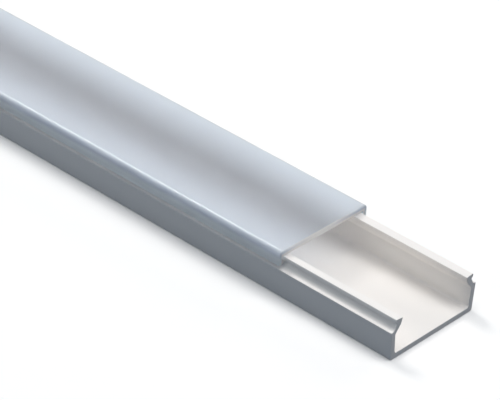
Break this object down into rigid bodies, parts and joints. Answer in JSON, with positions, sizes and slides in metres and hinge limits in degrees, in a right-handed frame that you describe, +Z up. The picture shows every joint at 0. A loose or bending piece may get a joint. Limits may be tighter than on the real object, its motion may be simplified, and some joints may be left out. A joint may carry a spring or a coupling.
{
  "type": "cord cover raceway",
  "caption": "Flat rectangular wiring raceway: a U-shaped base channel with snap rails, and a hooked cover that clips over them and is drawn back to show the cable way.",
  "frame": {"origin": "middle of the underside of the base channel, halfway along it", "axes": "+X along the stock towards the end that the cover is drawn back from, +Y across the channel, +Z up from the underside to the cover"},
  "size_m": [0.4426, 0.038, 0.016],
  "materials": {
    "base_plastic": "smooth rigid white PVC, satin to gloss",
    "cover_plastic": "rigid PVC, cool white, frosted and slightly translucent"
  },
  "bodies": {
    "base": {"base_channel": "base_plastic"},
    "cover": {"snap_cover": "cover_plastic"}
  },
  "joints": [
    {"name": "cover_slide", "type": "slide", "parent": "base", "child": "cover", "axis": [1, 0, 0], "range_m": [-0.1574, 0.0426]}
  ]
}
